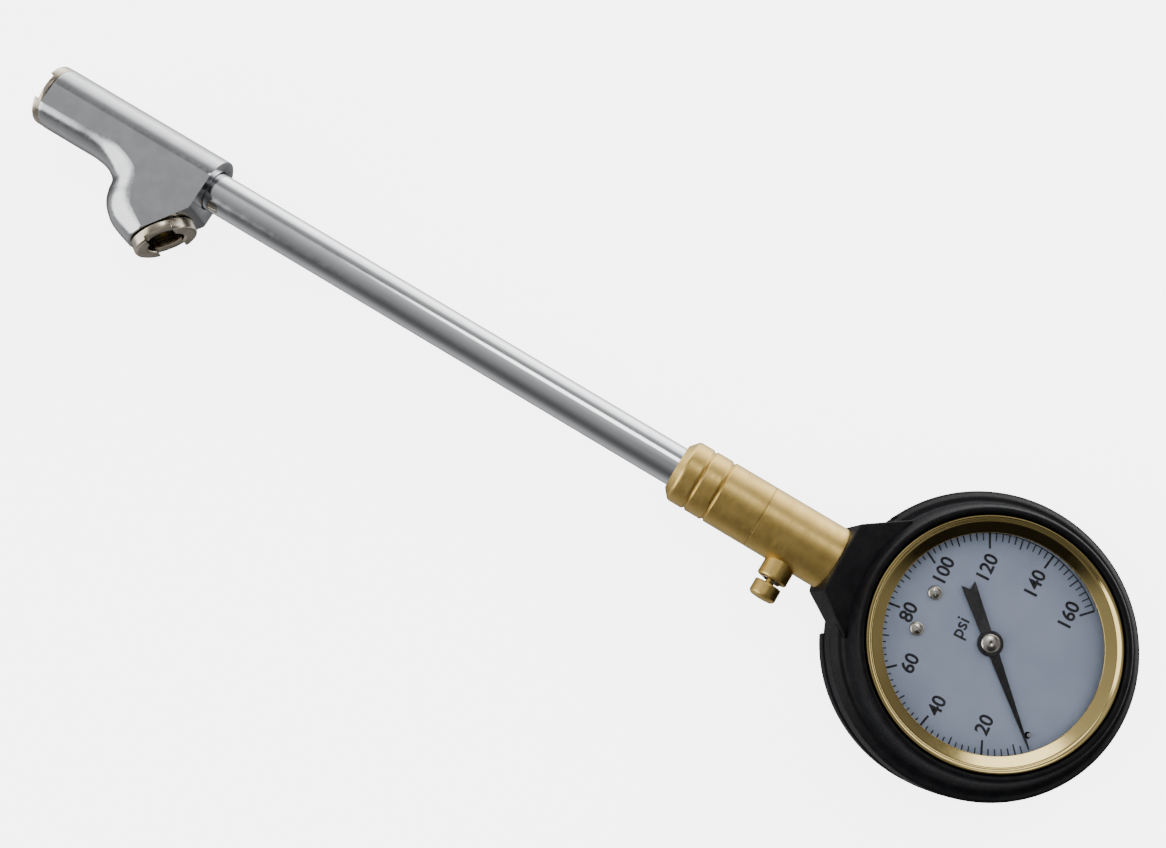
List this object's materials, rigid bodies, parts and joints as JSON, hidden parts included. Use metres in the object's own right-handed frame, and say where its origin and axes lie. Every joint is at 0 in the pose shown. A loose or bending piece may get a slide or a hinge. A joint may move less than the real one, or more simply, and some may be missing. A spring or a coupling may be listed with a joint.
{
  "type": "tyre pressure gauge",
  "caption": "Dial tyre pressure gauge in a rubber boot, with a bleed valve, a long stem and a dual-foot air chuck.",
  "frame": {"origin": "centre of the bounding box at the boot's back face", "axes": "+X along the stem from the chuck to the dial, +Y away from the foot and the bleed button, +Z out of the dial"},
  "size_m": [0.284, 0.0678, 0.0307],
  "materials": {
    "chrome": "polished chrome plate",
    "nickel": "nickel plate",
    "steel": "drawn spring steel",
    "brass": "turned satin brass",
    "gold_bezel": "polished gold-coloured plate",
    "rubber": "matte black",
    "case_paint": "black paint",
    "dial_white": "satin white enamel",
    "pointer_black": "satin black paint",
    "lens_clear": "clear"
  },
  "bodies": {
    "gauge": {"chuck_body": "chrome", "extension_tube": "chrome", "front_retainer": "nickel", "foot_retainer": "nickel", "dial_screw_1": "nickel", "dial_screw_2": "nickel", "front_spring": "steel", "foot_spring": "steel", "bleed_spring": "steel", "stop_pin": "steel", "hairspring": "steel", "movement_screw_1": "steel", "movement_screw_2": "steel", "movement_screw_3": "steel", "tube_coupling": "brass", "bleed_valve_body": "brass", "stem_socket": "brass", "bourdon_tube": "brass", "bottom_plate": "brass", "top_plate": "brass", "pillar_1": "brass", "pillar_2": "brass", "pillar_3": "brass", "hairspring_peg": "brass", "bezel": "gold_bezel", "rubber_boot": "rubber", "front_seal": "rubber", "foot_seal": "rubber", "coupling_oring": "rubber", "lens_gasket": "rubber", "case": "case_paint", "dial": "dial_white", "lens": "lens_clear"},
    "sector": {"sector_gear": "brass"},
    "pointer": {"pinion_arbor": "steel", "pointer": "pointer_black", "pointer_cap": "nickel"},
    "tip": {"tube_tip": "brass", "movement_link": "brass"},
    "bleed": {"bleed_button": "brass", "bleed_seal": "rubber"},
    "front_pin": {"front_valve_pin": "brass"},
    "foot_pin": {"foot_valve_pin": "brass"}
  },
  "joints": [
    {"name": "sector_swing", "type": "hinge", "parent": "gauge", "child": "sector", "pos_m": [0.09855, 0.00904, 0.0199], "axis": [0, 0, 1], "range_deg": [0, 27.1]},
    {"name": "pointer_turn", "type": "hinge", "parent": "gauge", "child": "pointer", "pos_m": [0.10815, 0, 0.0199], "axis": [0, 0, 1], "range_deg": [-271, 0]},
    {"name": "tube_tip_travel", "type": "hinge", "parent": "gauge", "child": "tip", "pos_m": [0.08446, 0.00391, 0.0203], "axis": [0, 0, 1], "range_deg": [0, 6.75]},
    {"name": "bleed_press", "type": "slide", "parent": "gauge", "child": "bleed", "axis": [0, 1, 0], "range_m": [0, 0.0008], "stiffness_N_per_m": 1500, "springref_m": -0.001, "deforming": ["bleed_spring"]},
    {"name": "front_pin_press", "type": "slide", "parent": "gauge", "child": "front_pin", "axis": [1, 0, 0], "range_m": [0, 0.0015], "stiffness_N_per_m": 1500, "springref_m": -0.001, "deforming": ["front_spring"]},
    {"name": "foot_pin_press", "type": "slide", "parent": "gauge", "child": "foot_pin", "axis": [-0.8192, 0.5736, 0], "range_m": [0, 0.0015], "stiffness_N_per_m": 1500, "springref_m": -0.001, "deforming": ["foot_spring"]}
  ],
  "couplings": [
    {"joint": "pointer_turn", "follows": "sector_swing", "ratio": -10},
    {"joint": "tube_tip_travel", "follows": "sector_swing", "ratio": 0.2478}
  ]
}
